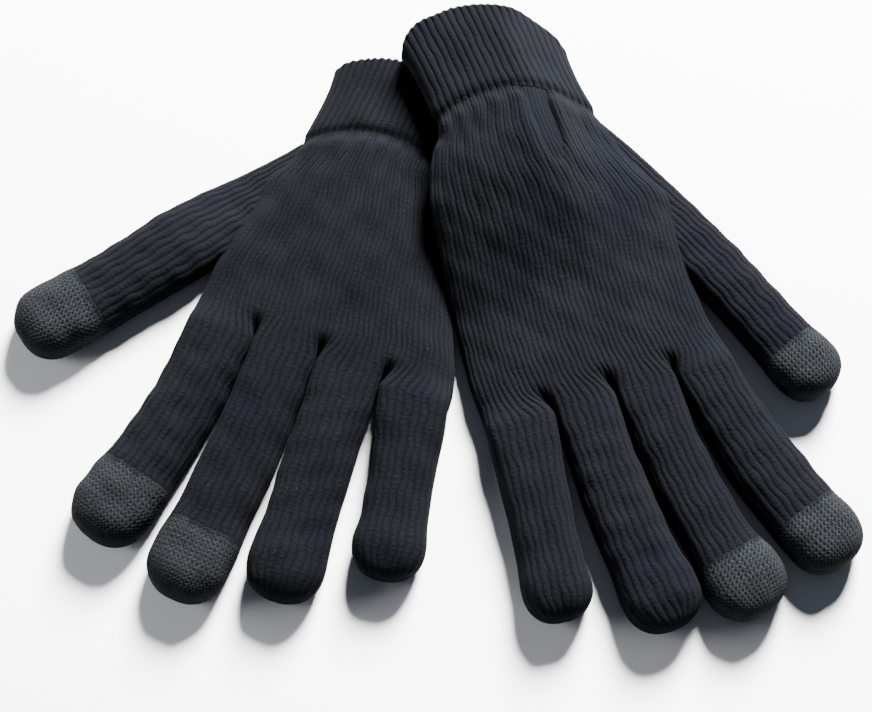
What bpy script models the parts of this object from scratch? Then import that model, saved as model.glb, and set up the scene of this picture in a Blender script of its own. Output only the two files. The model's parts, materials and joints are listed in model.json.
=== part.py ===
"""A pair of knitted touchscreen gloves, laid backs up with the fingers towards -Y.

The left glove lies flat. The right glove lies beside it, with its cuff and the edge of its palm
draped over the left one. Each glove is a ribbed cuff with a welt and an elastic thread, a hand, and
five digits of two knitted sleeves and a closed tip, so that every digit bends at its root and at
its middle. Lengths in the tables are millimetres in the glove's own frame: across is positive
towards the thumb, along is positive towards the fingertips, and the wrist is at zero.
"""

import math
from collections import namedtuple

import bmesh
import bpy

MM = 0.001

# Fabric, in millimetres.
WALL = 1.9
GAP = 0.3
CUT_OVERRUN = 2.0
FINGER_HEIGHT = 12.0
THUMB_BASE = 0.3
CUFF_HEIGHT = 11.5

# The flattened tube's section: its widest level, how square its sides and back are, and how soon
# its underside turns flat.
MIDLINE = 0.42
SIDE_ROUNDNESS = 0.72
BACK_ROUNDNESS = 0.85
UNDERSIDE_SLOPE = 1.25
FINGER_SIDES = 14
HAND_SIDES = 22

# Welt and elastic thread, in millimetres, or as fractions of the cuff's length.
CUFF_WAIST = 2.0
WELT_SHARE = 0.07
WELT_GAP = 0.016
WELT_SWELL = 0.5
THREAD_RADIUS = 0.4
THREAD_INSET = 3.0
THREAD_TURNS = 3
THREAD_SHARES = (0.55, 0.85)

# The right glove's drape: how high it is lifted, and the stretches over which the lift fades out.
DRAPE_HEIGHT = 12.6
DRAPE_ACROSS = (2.0, 30.0)
DRAPE_ALONG = (8.0, 70.0)

# The left glove's edge lies pressed thin where the right one covers it.
PRESSED = 0.62
PRESS_ACROSS = (-46.0, -8.0)
PRESS_ALONG = (20.0, 56.0)

Ring = namedtuple("Ring", "across along width height base turn")
Digit = namedtuple("Digit", "name root middle end widths tip_length")
Station = namedtuple("Station", "along little_edge thumb_edge height")
CuffEnd = namedtuple("CuffEnd", "centre width little_length middle_length thumb_length power")
ThumbRoot = namedtuple("ThumbRoot", "across along width")
Glove = namedtuple(
    "Glove", "side mirror yaw wrist palm seam mouth fingers thumb_root thumb draped"
)

LEFT = Glove(
    side="left",
    mirror=1,
    yaw=160,
    wrist=(-19.7, 50.7),
    palm=(
        Station(0, -27, 27, 12),
        Station(10, -33, 32, 12.5),
        Station(21, -38, 33, 12.5),
        Station(34, -41.2, 34.5, 13),
        Station(48, -46.2, 37.5, 13),
        Station(60, -51, 38, 13),
        Station(73, -53, 38.3, 12.5),
    ),
    seam=CuffEnd(0, 54, 5, 11, 0.5, 1),
    mouth=CuffEnd(-1, 52.5, 31, 41, 28, 0.5),
    fingers=(
        Digit("index", (26.8, 73), (31, 112), (41.5, 151.5), (22, 24.5, 27), 26),
        Digit("middle", (4.5, 73), (5.2, 114), (9, 161), (20.2, 24.5, 26.5), 25),
        Digit("ring", (-17.5, 73), (-19.8, 110), (-23, 150.5), (21.6, 22.8, 25.5), 20),
        Digit("little", (-40.8, 73), (-47.2, 103), (-52.5, 132.5), (21.4, 21.4, 24), 18),
    ),
    thumb_root=ThumbRoot(22.5, 9, 25),
    thumb=Digit("thumb", (49.4, 45.8), (68, 71.4), (89, 97), (26, 25, 26), 27),
    draped=False,
)

RIGHT = Glove(
    side="right",
    mirror=-1,
    yaw=197,
    wrist=(29.1, 65.6),
    palm=(
        Station(0, -28, 28, 12),
        Station(8, -33, 29, 12.5),
        Station(20, -37, 33, 12.5),
        Station(34, -39, 41, 13),
        Station(46, -40, 41, 13),
        Station(60, -41.5, 39.5, 13),
        Station(80, -43, 39.5, 13),
        Station(102, -42.5, 42.5, 12.5),
    ),
    seam=CuffEnd(0, 56, 5, 8, -3, 1),
    mouth=CuffEnd(-4, 54, 32, 45.5, 21, 0.5),
    fingers=(
        Digit("index", (32.4, 102), (40.7, 138), (55.5, 175.5), (19.6, 24.5, 25.5), 22),
        Digit("middle", (12, 102), (15.2, 141), (25, 183), (20.2, 21.6, 27), 22),
        Digit("ring", (-9, 102), (-8.2, 140), (-3.6, 179.5), (20.4, 23.4, 26), 20),
        Digit("little", (-31, 102), (-34.5, 135), (-37.5, 167), (22.4, 21, 22.5), 18),
    ),
    thumb_root=ThumbRoot(18.5, 9, 20),
    thumb=Digit("thumb", (50.4, 73.6), (58.6, 94.2), (69.4, 119.5), (20.6, 21, 23), 20),
    draped=True,
)


def clear_scene():
    for obj in list(bpy.data.objects):
        bpy.data.objects.remove(obj, do_unlink=True)


def new_collection(name):
    collection = bpy.data.collections.new(name)
    bpy.context.scene.collection.children.link(collection)
    return collection


def fabric(name, colour, roughness):
    material = bpy.data.materials.new(name)
    material.use_nodes = True
    shader = material.node_tree.nodes["Principled BSDF"]
    shader.inputs["Base Color"].default_value = (*colour, 1)
    shader.inputs["Roughness"].default_value = roughness
    shader.inputs["Metallic"].default_value = 0
    return material


def fade(value, start, end):
    """0 at start, 1 at end, and smooth between them."""
    share = min(max((value - start) / (end - start), 0), 1)
    return share * share * (3 - 2 * share)


def between(first, second, share):
    return tuple(a + (b - a) * share for a, b in zip(first, second))


def section(sides):
    """The tube's outline as (across -1 to 1, height 0 to 1), with a flat underside."""
    outline = []
    for step in range(sides):
        turn = 2 * math.pi * step / sides
        across = math.copysign(abs(math.cos(turn)) ** SIDE_ROUNDNESS, math.cos(turn))
        rise = math.sin(turn)
        if rise > 0:
            height = MIDLINE + (1 - MIDLINE) * rise**BACK_ROUNDNESS
        else:
            height = MIDLINE * max(0, 1 + UNDERSIDE_SLOPE * rise)
        outline.append((across, height))
    return outline


def drape(glove, across, along, height):
    """The height of a point once the gloves lie on each other."""
    if glove.draped:
        lift = DRAPE_HEIGHT * (1 - fade(across, *DRAPE_ACROSS)) * (1 - fade(along, *DRAPE_ALONG))
        return height + lift
    cover = (1 - fade(across, *PRESS_ACROSS)) * (1 - fade(along, *PRESS_ALONG))
    return height * (1 - (1 - PRESSED) * cover)


def ring_points(glove, ring, sides, inset=0, reach=None):
    """The ring's points in the glove's frame. reach(x) says how far along the glove each one is."""
    points = []
    for across, height in section(sides):
        sideways = across * (ring.width / 2 - inset)
        x = ring.across + sideways * math.cos(ring.turn)
        y = reach(x) if reach else ring.along - sideways * math.sin(ring.turn)
        z = ring.base + inset + height * (ring.height - 2 * inset)
        points.append((glove.mirror * x * MM, y * MM, drape(glove, x, y, z) * MM))
    return points


def add_ring(solid, points):
    return [solid.verts.new(point) for point in points]


def skin(solid, rings):
    """Faces between each ring and the next."""
    for near, far in zip(rings, rings[1:]):
        for index in range(len(near)):
            after = (index + 1) % len(near)
            solid.faces.new((near[index], near[after], far[after], far[index]))


def finish_mesh(name, solid, pivot):
    """A mesh from the solid, facing out, with its points counted from the pivot."""
    bmesh.ops.recalc_face_normals(solid, faces=solid.faces)
    bmesh.ops.translate(solid, verts=solid.verts, vec=[-value for value in pivot])
    mesh = bpy.data.meshes.new(name)
    solid.to_mesh(mesh)
    solid.free()
    mesh.shade_smooth()
    mesh.set_sharp_from_angle(angle=math.radians(50))
    return mesh


def tube_mesh(name, outer, inner, pivot):
    """A tube with a wall, open at both ends, from its outer and inner rings of points."""
    solid = bmesh.new()
    outside = [add_ring(solid, points) for points in outer]
    inside = [add_ring(solid, points) for points in inner]
    skin(solid, outside)
    skin(solid, inside)
    skin(solid, [outside[0], inside[0]])
    skin(solid, [outside[-1], inside[-1]])
    return finish_mesh(name, solid, pivot)


def cap_mesh(name, outer, inner, outer_end, inner_end, pivot):
    """A closed fingertip: open at its first ring, with outer and inner noses at its end."""
    solid = bmesh.new()
    outside = [add_ring(solid, points) for points in outer]
    inside = [add_ring(solid, points) for points in inner]
    skin(solid, outside)
    skin(solid, inside)
    skin(solid, [outside[0], inside[0]])
    for rings, end in ((outside, outer_end), (inside, inner_end)):
        nose = solid.verts.new(end)
        last = rings[-1]
        for index in range(len(last)):
            solid.faces.new((last[index], last[(index + 1) % len(last)], nose))
    return finish_mesh(name, solid, pivot)


def plug_mesh(name, rings):
    """A solid with flat ends, from its rings of points."""
    solid = bmesh.new()
    loops = [add_ring(solid, points) for points in rings]
    skin(solid, loops)
    solid.faces.new(loops[0])
    solid.faces.new(loops[-1])
    return finish_mesh(name, solid, (0, 0, 0))


def add_empty(name, parent, location, collection):
    empty = bpy.data.objects.new(name, None)
    empty.empty_display_size = 0.01
    empty.location = location
    empty.parent = parent
    collection.objects.link(empty)
    return empty


def add_node(name, mesh, parent, material, collection):
    node = bpy.data.objects.new(name, mesh)
    node.parent = parent
    node.data.materials.append(material)
    collection.objects.link(node)
    return node


def add_helper(name, mesh, parent, collection):
    helper = bpy.data.objects.new(name, mesh)
    helper.parent = parent
    helper.hide_render = True
    helper.display_type = "WIRE"
    collection.objects.link(helper)
    return helper


def add_boolean(node, helper, operation):
    cut = node.modifiers.new(f"{operation.lower()} {helper.name}", "BOOLEAN")
    cut.operation = operation
    cut.object = helper


def palm_rings(glove, overrun):
    """Rings at the palm's stations, the last one run on by overrun."""
    rings = []
    for station in glove.palm:
        centre = (station.little_edge + station.thumb_edge) / 2
        width = station.thumb_edge - station.little_edge
        rings.append(Ring(centre, station.along, width, station.height, 0, 0))
    rings[-1] = rings[-1]._replace(along=rings[-1].along + overrun)
    return rings


def palm_plug(glove, name, inset, start, overrun):
    """The palm as a solid plug, its first ring repeated at the start so that it runs past the seam."""
    rings = palm_rings(glove, overrun)
    rings.insert(0, rings[0]._replace(along=start))
    return plug_mesh(name, [ring_points(glove, ring, HAND_SIDES, inset) for ring in rings])


def arch(end, overrun):
    """How far along the glove each point of an arched end of the cuff lies, from its place across."""
    mean = (end.little_length + end.thumb_length) / 2

    def reach(x):
        across = min(max((x - end.centre) / (end.width / 2), -1), 1)
        side_length = mean + across * (end.thumb_length - end.little_length) / 2
        rise = (end.middle_length - mean) * (1 - across * across) ** end.power
        return -overrun - side_length - rise

    return reach


def seam_cutter(glove):
    """A tall block that trims the hand along the arched seam, clear of the cuff."""
    reach = arch(glove.seam, -GAP / 2)
    far = -3 * glove.seam.middle_length
    half = glove.seam.width / 2
    edge = [glove.seam.centre + half * across for across, _ in section(HAND_SIDES)[: HAND_SIDES // 2 + 1]]
    edge = [2 * half] + edge + [-2 * half]
    outline = [(x, reach(x)) for x in edge] + [(-2 * half, far), (2 * half, far)]
    levels = (-CUFF_HEIGHT, DRAPE_HEIGHT + 3 * CUFF_HEIGHT)
    return [[(glove.mirror * x * MM, y * MM, level * MM) for x, y in outline] for level in levels]


def thumb_turn(glove):
    """The thumb's angle from the glove's own direction."""
    root, end = glove.thumb.root, glove.thumb.end
    return math.atan2(end[0] - root[0], end[1] - root[1])


def stub_rings(glove, late_start, overrun):
    """The thumb's knitted root, from inside the palm to the thumb's hinge."""
    turn = thumb_turn(glove)
    ahead = (math.sin(turn), math.cos(turn))
    start, end = glove.thumb_root, (*glove.thumb.root, glove.thumb.widths[0])
    rings = []
    for share, shift in ((0, late_start), (0.5, 0), (1, overrun)):
        across, along, width = between(start, end, share)
        across, along = across + shift * ahead[0], along + shift * ahead[1]
        rings.append(Ring(across, along, width, FINGER_HEIGHT, THUMB_BASE, turn))
    return rings


def build_hand(glove, frame, material, parts, cutters):
    """The palm and the thumb's root as one hollow piece, open at the wrist, knuckles and thumb."""
    side = glove.side
    beyond = -glove.seam.middle_length - CUT_OVERRUN
    plug = palm_plug(glove, f"{side}_hand", 0, beyond, -GAP / 2)
    hand = add_node(f"{side}_hand", plug, frame, material, parts)
    stub = [ring_points(glove, ring, FINGER_SIDES) for ring in stub_rings(glove, 0, -GAP / 2)]
    core = [ring_points(glove, ring, FINGER_SIDES, WALL) for ring in stub_rings(glove, WALL, CUT_OVERRUN)]
    space = palm_plug(glove, "palm_space", WALL, beyond - CUT_OVERRUN, CUT_OVERRUN)
    for label, mesh, operation in (
        ("thumb_root", plug_mesh("thumb_root", stub), "UNION"),
        ("palm_space", space, "DIFFERENCE"),
        ("thumb_space", plug_mesh("thumb_space", core), "DIFFERENCE"),
        ("seam_cutter", plug_mesh("seam_cutter", seam_cutter(glove)), "DIFFERENCE"),
    ):
        helper = add_helper(f"{side}_{label}", mesh, frame, cutters)
        add_boolean(hand, helper, operation)


def cuff_rings(glove, shares, inset, swell=0):
    """Rings of the cuff, by their share of the way from its seam to its mouth."""
    rings = []
    for share in shares:
        end = CuffEnd(*between(glove.seam, glove.mouth, share))
        waist = CUFF_WAIST * math.sin(math.pi * min(share, 1))
        height = CUFF_HEIGHT + 2 * swell
        ring = Ring(end.centre, 0, end.width - waist + 2 * swell, height, 0, 0)
        rings.append(ring_points(glove, ring, HAND_SIDES, inset, arch(end, GAP / 2)))
    return rings


def build_cuff(glove, frame, material, parts):
    split = 1 - WELT_SHARE
    shares = (0, 0.3, 0.62, split - WELT_GAP)
    mesh = tube_mesh("cuff", cuff_rings(glove, shares, 0), cuff_rings(glove, shares, WALL), (0, 0, 0))
    add_node(f"{glove.side}_cuff", mesh, frame, material, parts)
    welt = (split, 1 - WELT_SHARE / 2, 1)
    outer = cuff_rings(glove, welt, 0)
    outer[1] = cuff_rings(glove, welt[1:2], 0, WELT_SWELL)[0]
    mesh = tube_mesh("cuff_edge", outer, cuff_rings(glove, welt, WALL), (0, 0, 0))
    add_node(f"{glove.side}_cuff_edge", mesh, frame, material, parts)


def build_elastic(glove, frame, material, parts):
    """One thread wound round the inside of the cuff."""
    start, end = THREAD_SHARES
    turns = THREAD_TURNS * HAND_SIDES
    points = []
    for step in range(turns):
        share = start + (end - start) * step / turns
        ring = cuff_rings(glove, (share,), THREAD_INSET)[0]
        points.append(ring[step % HAND_SIDES])
    curve = bpy.data.curves.new("cuff_elastic", "CURVE")
    curve.dimensions = "3D"
    curve.bevel_depth = THREAD_RADIUS * MM
    curve.bevel_resolution = 1
    curve.use_fill_caps = True
    spline = curve.splines.new("POLY")
    spline.points.add(len(points) - 1)
    for control, point in zip(spline.points, points):
        control.co = (*point, 1)
    add_node(f"{glove.side}_cuff_elastic", curve, frame, material, parts)


def digit_line(digit, share, half):
    """A point of the digit's centre line: half 0 is its root half, half 1 its tip half."""
    start, stop = (digit.root, digit.middle) if half == 0 else (digit.middle, digit.end)
    return between(start, stop, share)


def heading(start, stop):
    return math.atan2(stop[0] - start[0], stop[1] - start[1])


def sleeve(glove, name, start, stop, base, pivot):
    """A knitted sleeve between two (point, width, plane angle) ends."""
    middle = tuple(between((*start[0], *start[1:]), (*stop[0], *stop[1:]), 0.5))
    ends = ((*start[0], *start[1:]), middle, (*stop[0], *stop[1:]))
    rings = [Ring(across, along, width, FINGER_HEIGHT, base, turn) for across, along, width, turn in ends]
    outer = [ring_points(glove, ring, FINGER_SIDES) for ring in rings]
    inner = [ring_points(glove, ring, FINGER_SIDES, WALL) for ring in rings]
    return tube_mesh(name, outer, inner, pivot)


def tip(glove, name, start, end, widths, turn, base, pivot):
    """A rounded, slightly bulbous fingertip from its seam to its end."""
    length = math.dist(start, end)
    radius = widths[1] / 2
    straight = length - radius
    layers = {}
    for inset in (0, WALL):
        rings = [(0.0, widths[0], FINGER_HEIGHT, base), (straight, widths[1], FINGER_HEIGHT, base)]
        for lean in (35, 65):
            closing = math.cos(math.radians(lean))
            forward = (radius - inset) * math.sin(math.radians(lean))
            height = 2 * inset + (FINGER_HEIGHT - 2 * inset) * math.sqrt(closing)
            floor = base + (FINGER_HEIGHT - height) * MIDLINE
            width = 2 * inset + (widths[1] - 2 * inset) * closing
            rings.append((straight + forward, width, height, floor))
        layers[inset] = []
        for distance, width, height, floor in rings:
            across, along = between(start, end, distance / length)
            ring = Ring(across, along, width, height, floor, turn)
            layers[inset].append(ring_points(glove, ring, FINGER_SIDES, inset))
    level = base + FINGER_HEIGHT * MIDLINE
    noses = []
    for inset in (0, WALL):
        across, along = between(start, end, 1 - inset / length)
        noses.append((glove.mirror * across * MM, along * MM, level * MM))
    return cap_mesh(name, layers[0], layers[WALL], *noses, pivot)


def build_digit(glove, digit, frame, materials, parts, turn, base):
    """Two sleeves and a tip. The sleeves' ends lie on the hinge lines, which turn gives."""
    side = f"{glove.side}_{digit.name}"
    root_pivot = (glove.mirror * digit.root[0] * MM, digit.root[1] * MM, 0)
    middle_pivot = (glove.mirror * digit.middle[0] * MM, digit.middle[1] * MM, 0)
    root_hinge = add_empty(f"{side}_root_hinge", frame, root_pivot, parts)
    step = tuple(b - a for a, b in zip(root_pivot, middle_pivot))
    middle_hinge = add_empty(f"{side}_middle_hinge", root_hinge, step, parts)

    base_length = math.dist(digit.root, digit.middle)
    upper_length = math.dist(digit.middle, digit.end)
    root_width, middle_width, tip_width = digit.widths
    tip_turn = heading(digit.middle, digit.end)
    seam = 1 - digit.tip_length / upper_length
    seam_width = middle_width + (tip_width - middle_width) * 0.35
    clear = GAP / 2 / base_length
    clear_upper = GAP / 2 / upper_length

    start = (digit_line(digit, clear, 0), root_width, turn)
    stop = (digit_line(digit, 1 - clear, 0), middle_width, turn)
    mesh = sleeve(glove, "base_sleeve", start, stop, base, root_pivot)
    add_node(f"{side}_base_sleeve", mesh, root_hinge, materials["knit"], parts)

    start = (digit_line(digit, clear_upper, 1), middle_width, turn)
    stop = (digit_line(digit, seam - clear_upper, 1), seam_width, tip_turn)
    mesh = sleeve(glove, "upper_sleeve", start, stop, base, middle_pivot)
    add_node(f"{side}_upper_sleeve", mesh, middle_hinge, materials["knit"], parts)

    touch = digit.name in ("thumb", "index", "middle")
    start = digit_line(digit, seam + clear_upper, 1)
    widths = (seam_width, tip_width)
    mesh = tip(glove, "tip", start, digit.end, widths, tip_turn, base, middle_pivot)
    label = "touch_tip" if touch else "plain_tip"
    yarn = materials["conductive" if touch else "knit"]
    add_node(f"{side}_{label}", mesh, middle_hinge, yarn, parts)


def build_glove(glove, materials, parts, cutters):
    place = (glove.wrist[0] * MM, glove.wrist[1] * MM, 0)
    frame = add_empty(f"{glove.side}_glove", None, place, parts)
    frame.rotation_euler.z = math.radians(glove.yaw)
    build_hand(glove, frame, materials["knit"], parts, cutters)
    build_cuff(glove, frame, materials["rib"], parts)
    build_elastic(glove, frame, materials["elastic"], parts)
    for finger in glove.fingers:
        build_digit(glove, finger, frame, materials, parts, 0, 0)
    build_digit(glove, glove.thumb, frame, materials, parts, thumb_turn(glove), THUMB_BASE)


def main():
    clear_scene()
    parts = new_collection("touchscreen_gloves")
    cutters = new_collection("cutters")
    materials = {
        "knit": fabric("knit_black", (0.018, 0.021, 0.025), 0.92),
        "rib": fabric("rib_black", (0.020, 0.023, 0.027), 0.92),
        "conductive": fabric("conductive_knit", (0.050, 0.054, 0.058), 0.8),
        "elastic": fabric("elastic_thread", (0.03, 0.03, 0.03), 0.7),
    }
    for glove in (LEFT, RIGHT):
        build_glove(glove, materials, parts, cutters)


main()
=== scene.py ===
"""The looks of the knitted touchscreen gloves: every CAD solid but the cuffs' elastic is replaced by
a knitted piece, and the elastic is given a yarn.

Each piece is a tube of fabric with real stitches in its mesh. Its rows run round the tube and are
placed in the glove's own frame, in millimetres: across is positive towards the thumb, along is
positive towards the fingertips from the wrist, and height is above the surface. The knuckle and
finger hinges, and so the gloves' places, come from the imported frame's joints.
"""

import json
import math

import bpy
import numpy as np
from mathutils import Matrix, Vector


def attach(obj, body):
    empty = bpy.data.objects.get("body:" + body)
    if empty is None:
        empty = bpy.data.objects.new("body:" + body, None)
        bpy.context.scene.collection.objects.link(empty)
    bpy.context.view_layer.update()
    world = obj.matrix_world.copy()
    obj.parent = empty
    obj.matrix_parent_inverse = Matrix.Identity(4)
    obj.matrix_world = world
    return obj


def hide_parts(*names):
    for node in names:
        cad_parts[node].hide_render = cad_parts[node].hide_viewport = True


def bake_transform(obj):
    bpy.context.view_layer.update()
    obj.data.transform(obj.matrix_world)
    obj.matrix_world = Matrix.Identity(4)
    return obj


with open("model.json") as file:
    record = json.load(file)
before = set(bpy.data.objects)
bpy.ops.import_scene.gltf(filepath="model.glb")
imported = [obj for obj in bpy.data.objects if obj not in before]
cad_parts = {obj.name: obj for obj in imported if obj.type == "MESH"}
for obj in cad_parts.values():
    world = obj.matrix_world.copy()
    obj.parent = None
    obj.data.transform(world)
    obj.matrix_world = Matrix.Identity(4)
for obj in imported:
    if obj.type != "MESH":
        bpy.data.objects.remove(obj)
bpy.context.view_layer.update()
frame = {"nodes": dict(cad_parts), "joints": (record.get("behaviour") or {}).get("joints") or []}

MM = 0.001
AHEAD = np.array([0.0, 1.0, 0.0])
JOINTS = {joint["name"]: joint for joint in frame["joints"]}
TOUCH_DIGITS = ("thumb", "index", "middle")
FINGERS = ("index", "middle", "ring", "little")

# Knit gauge: how far apart the courses and the mesh's rows lie in millimetres, and how many
# columns and stitches go round. A lobe is one finger's share of the hand's back.
COURSE = 1.8
STEPS_PER_WALE = 5
WALES_PER_LOBE = 12
LOBE_STEPS = STEPS_PER_WALE * WALES_PER_LOBE
FACE_STEPS = 4 * LOBE_STEPS
RIBS_PER_FACE = 24
RIBS_PER_WALE = RIBS_PER_FACE / (4 * WALES_PER_LOBE)
FINGER_ROW = COURSE / 4
HAND_ROW = COURSE / 3
CUFF_ROW = 0.5
TIP_ROW = 0.3
TIP_STITCHES = 42
TIP_COURSE = 1.6

# How far the stitches stray from their columns and courses, in stitches, and over what size.
WALE_DRIFT = 0.22
WALE_DRIFT_SIZE = 11.0
COURSE_DRIFT = 0.3
COURSE_DRIFT_SIZE = 16.0

# The fabric's thickness, how many outer rows one inner row stands for, and the angle above which
# an edge of the mesh is drawn sharp.
FABRIC = 1.3
INNER_ROW_STEP = 14
RIM_ANGLE = math.radians(70)

# The section of a knitted tube: where its widest level lies, how square its sides are, and how
# square its back is in general and at the knuckles, where the fingers part slowly.
OUTLINE_POINTS = 121
MIDLINE = 0.42
SIDE_POWER = 0.72
BACK_POWER = 0.85
UNDERSIDE_POWER = 0.5
KNUCKLE_BACK_POWER = 0.3
CLEFT_LENGTH = 24.0

# Heights in millimetres. The rest gap keeps the underside off the floor. The thumb comes out low
# and rises between a share of its root's length before its hinge and a place past it.
REST_GAP = 0.35
PALM_HEIGHT = 13.0
FINGER_HEIGHT = 12.6
CUFF_HEIGHT = 11.3
WRIST_DROP = 1.7
WRIST_SLOPE = (-4, 25)
THUMB_ROOT_HEIGHT = 6.5
THUMB_RISE_FROM, THUMB_RISE_TO = 0.6, 8

# The V of a stitch: how many courses its legs climb, in plain knit and in ribs, and how wide the
# gap between them is, as a share of half a column. Below 1, the roundness makes ribs fuller.
LEG_SLANT = 0.45
RIB_LEG_SLANT = 0.4
LEG_SPLIT = 0.25
RIB_ROUNDNESS = 0.8

# Relief in millimetres, as (columns, stitches) for plain knit. What belongs to the upper side
# alone fades in over the heights in TOP_SIDE.
FINGER_RELIEF = (0.27, 0.03)
FINE_RELIEF = (0.22, 0.13)
KNOT_RELIEF = 0.24
RIB_HEIGHT = 0.38
HAND_RIB_HEIGHT = 0.42
RIB_STITCH = 0.03
TOP_SIDE = (3, 8)

# The soft unevenness of empty gloves, as (height, size) of its waves.
HAND_WAVES = ((0.6, 34), (0.3, 15))
CUFF_WAVES = ((0.5, 24),)
DIGIT_WAVES = ((0.35, 17),)

# Places along the hand: where its ribs turn into fine plain knit, and the (height, size) wave by
# which that line wanders, how far before the knuckles the fingers' columns begin, and where its
# outline takes up the fingers.
RIB_FADE = (24.0, 58.0)
RIB_WANDER = (7, 40)
COLUMN_FADE = 26
KNUCKLE_BLEND = 12.0
KNUCKLE_EASE = 1.3

# The drawn-in line between cuff and hand, and over what length single stitches, full ribs and
# soft waves set in past it.
SEAM_DIP = 1.0
SEAM_WIDTH = 2.6
STITCHES_SET_IN = 3
HAND_RIBS_SET_IN = 16
WAVES_SET_IN = 8

# What the seam does to the hand: a bulge past it, and uneven pleats that die away.
SEAM_BULGE = 0.7
BULGE_PLACE = 6
BULGE_WIDTH = 5
PLEAT_DEPTH = 0.5
PLEAT_PITCH = 6.7
PLEAT_RISE = 4
PLEAT_FALL_START = 3
PLEAT_REACH = 7.5

# The pinched fold at the right glove's wrist: where it lies, where it starts and ends along the
# hand, and the bank beside it.
FOLD_ACROSS = 7.7
FOLD_WIDTH = 3.4
FOLD_DEPTH = 6.0
FOLD_START = (-9, -4)
FOLD_END = (8, 27)
BANK_HEIGHT = 1.6
BANK_OFFSET = 5
BANK_WIDTH = 3.0

# The cuff, with lengths in millimetres and shares of its length from the seam to the mouth. Its
# edge rolls in, is scalloped by the ribs, and wanders by a (height, size) wave.
CUFF_WAIST = 2.0
WELT_SHARE = 0.07
MOUTH_STRETCH = (0.9, 1)
MOUTH_FLATTENING = 0.3
ROLLED_EDGE = 1.4
ROLL_DEPTH = 0.8
SCALLOP_HEIGHT = 0.2
SCALLOP_LENGTH = 0.3
UNEVEN_MOUTH = (0.5, 19)

# The digits' shape: a fuller tip that closes in a blunt dome, less fast on its back and underside
# than at its sides, and with flatter stitches at its nose. The neck before it fills out by a share
# too. A finger turns away from the glove's own direction over a length from its root.
TIP_SWELL = 1.1
TIP_RISE = 6.0
SWELL_BEFORE, SWELL_AFTER = 6, 8
DOME_LEAN = math.radians(84)
DOME_POWER = 0.9
DOME_LENGTH = 0.94
BACK_CLOSING = 0.75
UNDERSIDE_CLOSING = 0.6
NOSE_FLATTENING = 0.75
NECK_SHARE = 0.25
FINGER_TURN = 14.0

# The right glove's drape over the left one, and the left one's pressed edge, as in the CAD.
DRAPE = {"height": 12.6, "across": (2.0, 30.0), "along": (8.0, 70.0)}
PRESS = {"keep": 0.62, "across": (-46.0, -8.0), "along": (20.0, 56.0)}

# Each glove in millimetres. middle_across: where the middle finger's knuckle hinge lies across.
# palm: (along, little-finger edge, thumb edge). lobes: the edges of the four fingers at the
# knuckle line, from the thumb's side. seam and mouth: the cuff's two ends as (centre, width,
# length at the little finger's side, in the middle, at the thumb's side, power of the arch).
# thumb_root: where the thumb leaves the palm, as (across, along, width). digits: the widths at the
# hinges and of the tip, and the tip's length. A finger's width at its root is its lobe's.
GLOVES = {
    "left": {
        "palm_length": 73.0,
        "middle_across": 4.5,
        "palm": (
            (0, -27, 27),
            (10, -33, 32),
            (21, -38, 33),
            (34, -41.5, 34.5),
            (48, -46.5, 37.5),
            (60, -51, 38),
            (73, -53, 38.4),
        ),
        "lobes": (38.4, 15.6, -6.5, -29.1, -53),
        "seam": (0, 54, 5, 11, 0.5, 1),
        "mouth": (-1, 52.5, 31, 39.5, 28, 0.5),
        "thumb_root": (20, 4, 17),
        "digits": {
            "thumb": {"widths": (26, 25, 26), "tip": 27},
            "index": {"widths": (24.4, 27), "tip": 26},
            "middle": {"widths": (24.4, 26.5), "tip": 25},
            "ring": {"widths": (23.4, 25.5), "tip": 20},
            "little": {"widths": (21.6, 24), "tip": 18},
        },
    },
    "right": {
        "palm_length": 102.0,
        "middle_across": 12.0,
        "palm": (
            (0, -28, 28),
            (8, -33, 30.5),
            (20, -37, 35),
            (34, -39, 41),
            (46, -40, 41),
            (60, -41.5, 39.5),
            (80, -43, 39.5),
            (102, -42.6, 42.6),
        ),
        "lobes": (42.6, 22.4, 1.6, -19.4, -42.6),
        "seam": (0, 56, 5, 8, -3, 1),
        "mouth": (-3.5, 57, 31, 41, 20, 0.5),
        "thumb_root": (18.5, 7, 19),
        "digits": {
            "thumb": {"widths": (20.6, 21, 23), "tip": 20},
            "index": {"widths": (24.5, 25.5), "tip": 22},
            "middle": {"widths": (21.8, 27), "tip": 22},
            "ring": {"widths": (23.4, 26), "tip": 20},
            "little": {"widths": (21.2, 22.5), "tip": 18},
        },
    },
}


# ---------------------------------------------------------------- numbers and curves


def fade(value, start, end):
    """0 at start, 1 at end, and smooth between them."""
    share = np.clip((np.asarray(value, float) - start) / (end - start), 0, 1)
    return share * share * (3 - 2 * share)


def bump_at(distance, width):
    """A smooth bump of height 1."""
    return np.exp(-((distance / width) ** 2))


def on_top(rows):
    """1 on the upper side of a tube, and 0 on its underside."""
    return fade(rows[..., 2], *TOP_SIDE)


def smooth_between(value, places, values):
    """A curve through the values with level tangents at its ends and easy ones between."""
    places, values = np.asarray(places, float), np.asarray(values, float)
    slopes = np.gradient(values, places)
    slopes[0] = slopes[-1] = 0
    index = np.clip(np.searchsorted(places, value) - 1, 0, len(places) - 2)
    span = places[index + 1] - places[index]
    t = np.clip((value - places[index]) / span, 0, 1)
    first = values[index] * (1 + 2 * t) * (1 - t) ** 2 + slopes[index] * span * t * (1 - t) ** 2
    last = values[index + 1] * t * t * (3 - 2 * t) + slopes[index + 1] * span * t * t * (t - 1)
    return first + last


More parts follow.
